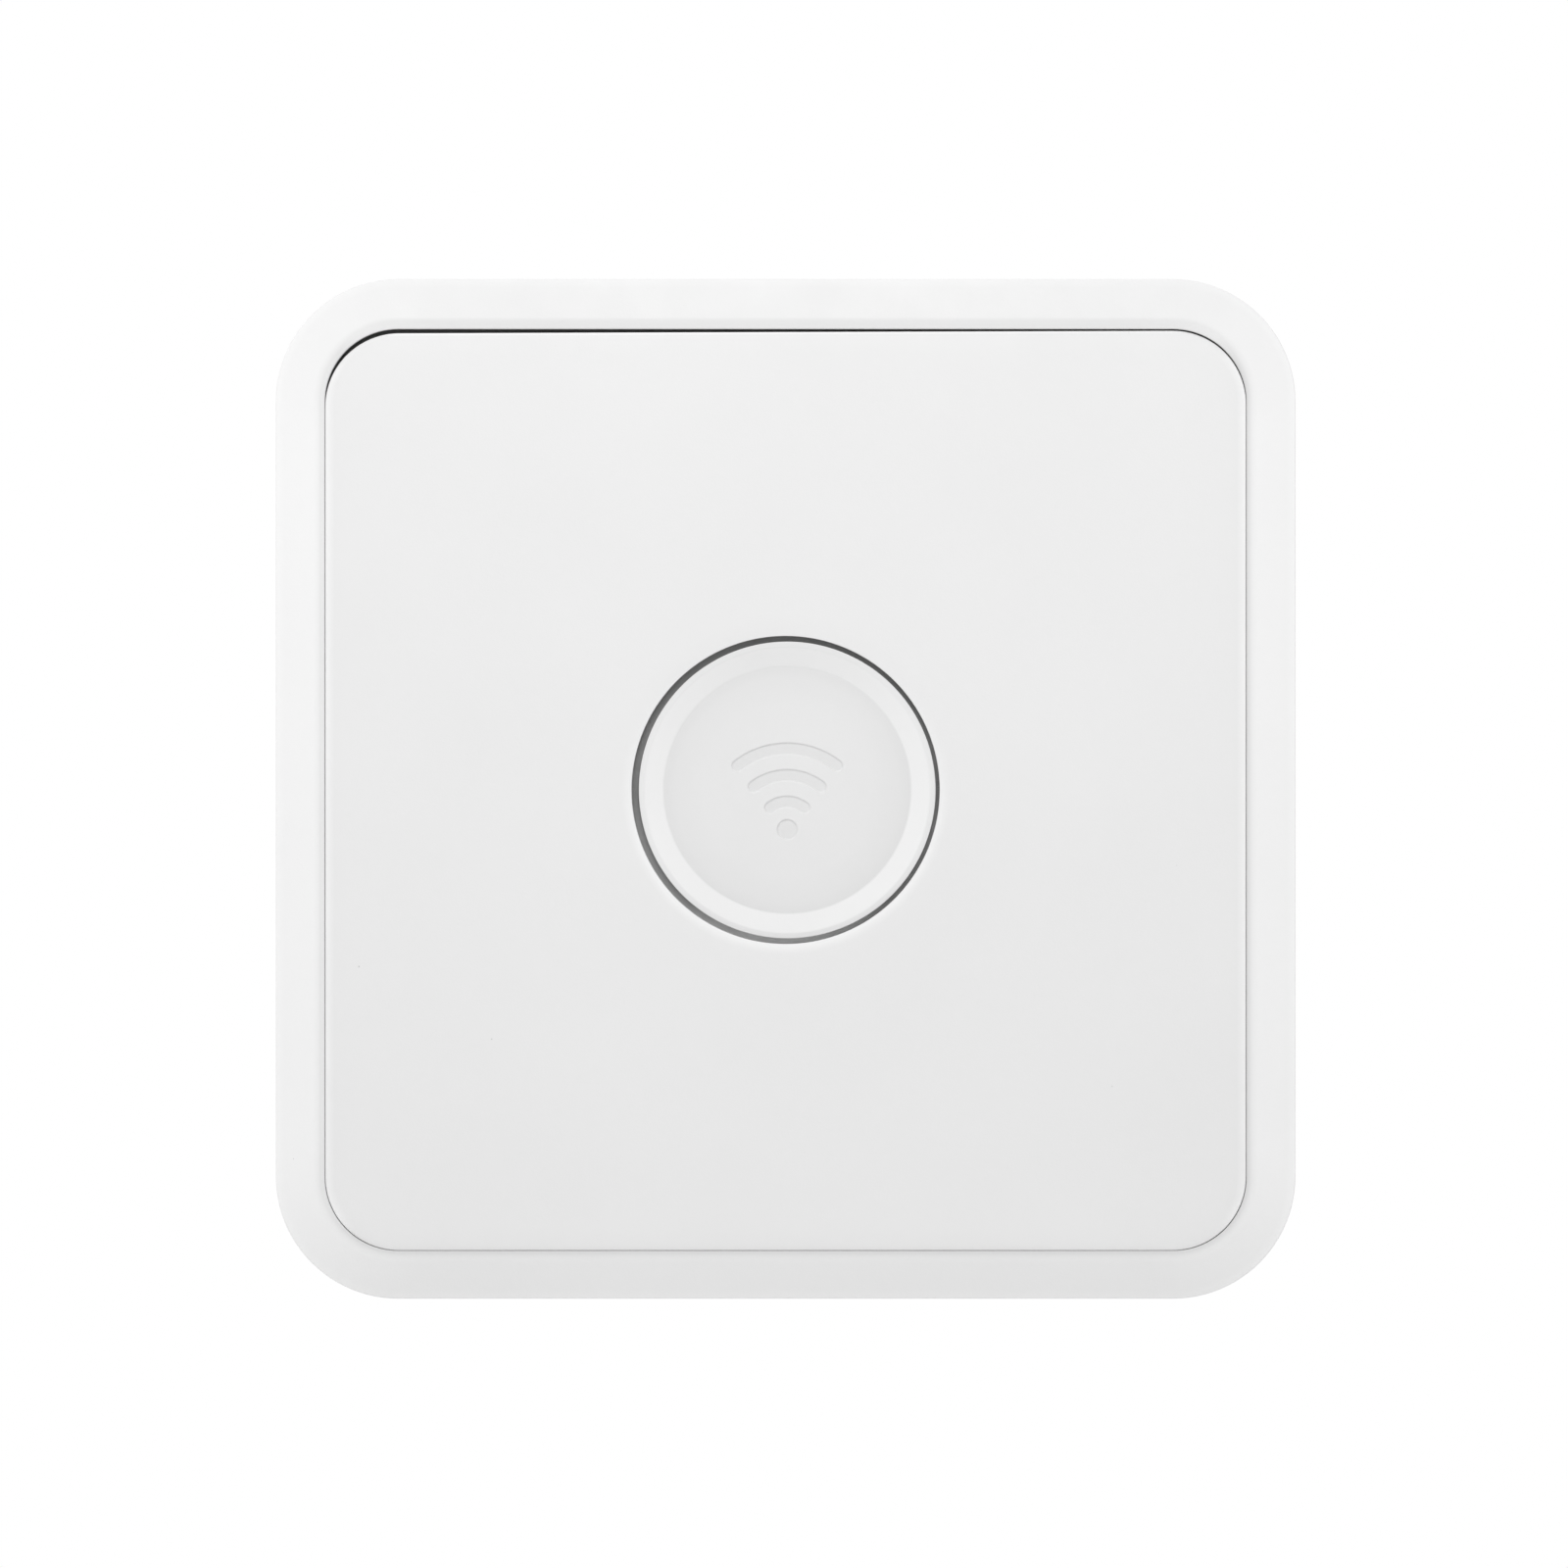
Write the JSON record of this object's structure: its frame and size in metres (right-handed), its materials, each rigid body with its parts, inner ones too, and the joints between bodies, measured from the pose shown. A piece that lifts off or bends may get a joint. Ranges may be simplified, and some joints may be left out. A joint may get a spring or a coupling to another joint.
{
  "type": "ceiling access point",
  "caption": "Rounded-square wireless access point with an inset front plate, a large round push button and a slide-on mounting bracket.",
  "frame": {"origin": "middle of the bracket's back face, which lies against the ceiling", "axes": "+Y into the ceiling, front face towards -Y, +Z towards the edge opposite the cable exit, +X to the right seen from the front"},
  "size_m": [0.18, 0.034, 0.18],
  "materials": {
    "shell_plastic": "fine matte moulded texture, white",
    "rear_plastic": "matte moulded, white",
    "button_plastic": "satin moulded, white",
    "light_guide": "frosted clear ring, unlit",
    "bracket_steel": "zinc-plated sheet",
    "screw_steel": "plated",
    "spring_steel": "drawn wire",
    "tinned_sheet": "tinned sheet, satin",
    "contact_gold": "gold plated",
    "heat_sink_aluminium": "extruded",
    "circuit_board": "solder mask",
    "black_plastic": "moulded",
    "grey_plastic": "moulded",
    "reset_red": "moulded",
    "chip_resin": "moulded resin",
    "capacitor_sleeve": "shrink sleeve",
    "coax_jacket": "fluoropolymer jacket",
    "led_resin": "unlit resin",
    "thermal_pad": "soft silicone",
    "foam": "closed-cell foam"
  },
  "bodies": {
    "bracket": {"mounting_bracket": "bracket_steel"},
    "housing": {"rear_cover": "rear_plastic", "front_frame": "shell_plastic", "front_plate": "shell_plastic", "plate_gasket": "foam", "light_guide_ring": "light_guide", "button_guide": "black_plastic", "button_spring": "spring_steel", "switch_body": "black_plastic", "status_led_1": "led_resin", "status_led_2": "led_resin", "status_led_3": "led_resin", "status_led_4": "led_resin", "detent_spring": "spring_steel", "main_board": "circuit_board", "case_screw_1": "screw_steel", "case_screw_2": "screw_steel", "case_screw_3": "screw_steel", "case_screw_4": "screw_steel", "board_screw_1": "screw_steel", "board_screw_2": "screw_steel", "board_screw_3": "screw_steel", "board_screw_4": "screw_steel", "lan_jack_shield_1": "tinned_sheet", "lan_jack_insert_1": "black_plastic", "lan_jack_contacts_1": "contact_gold", "lan_jack_shield_2": "tinned_sheet", "lan_jack_insert_2": "black_plastic", "lan_jack_contacts_2": "contact_gold", "reset_switch": "black_plastic", "shield_can_processor": "tinned_sheet", "shield_can_radio_low": "tinned_sheet", "shield_can_radio_high": "tinned_sheet", "chip_processor": "chip_resin", "chip_radio_low": "chip_resin", "chip_radio_high": "chip_resin", "thermal_pad_processor": "thermal_pad", "thermal_pad_radio_low": "thermal_pad", "thermal_pad_radio_high": "thermal_pad", "heat_sink": "heat_sink_aluminium", "power_transformer": "grey_plastic", "power_inductor": "black_plastic", "bulk_capacitor_1": "capacitor_sleeve", "bulk_capacitor_2": "capacitor_sleeve", "antenna_1": "tinned_sheet", "antenna_2": "tinned_sheet", "antenna_3": "tinned_sheet", "antenna_4": "tinned_sheet", "antenna_cable_1": "coax_jacket", "antenna_cable_2": "coax_jacket", "antenna_cable_3": "coax_jacket", "antenna_cable_4": "coax_jacket"},
    "button": {"center_button": "button_plastic"},
    "plunger": {"switch_plunger": "grey_plastic"},
    "detent": {"detent_bolt": "grey_plastic"},
    "reset": {"reset_button": "reset_red"}
  },
  "joints": [
    {"name": "unit_release", "type": "slide", "parent": "bracket", "child": "housing", "axis": [0, 0, 1], "range_m": [0, 0.01]},
    {"name": "button_press", "type": "slide", "parent": "housing", "child": "button", "axis": [0, 1, 0], "range_m": [0, 0.001], "stiffness_N_per_m": 800, "deforming": ["button_spring"]},
    {"name": "switch_press", "type": "slide", "parent": "housing", "child": "plunger", "axis": [0, 1, 0], "range_m": [0, 0.001]},
    {"name": "detent_lift", "type": "slide", "parent": "housing", "child": "detent", "axis": [0, -1, 0], "range_m": [0, 0.002], "deforming": ["detent_spring"]},
    {"name": "reset_press", "type": "slide", "parent": "housing", "child": "reset", "axis": [0, 0, 1], "range_m": [0, 0.0005], "stiffness_N_per_m": 600}
  ],
  "couplings": [
    {"joint": "switch_press", "follows": "button_press", "ratio": 1},
    {"joint": "detent_lift", "follows": "unit_release", "ratio": 0.2}
  ]
}
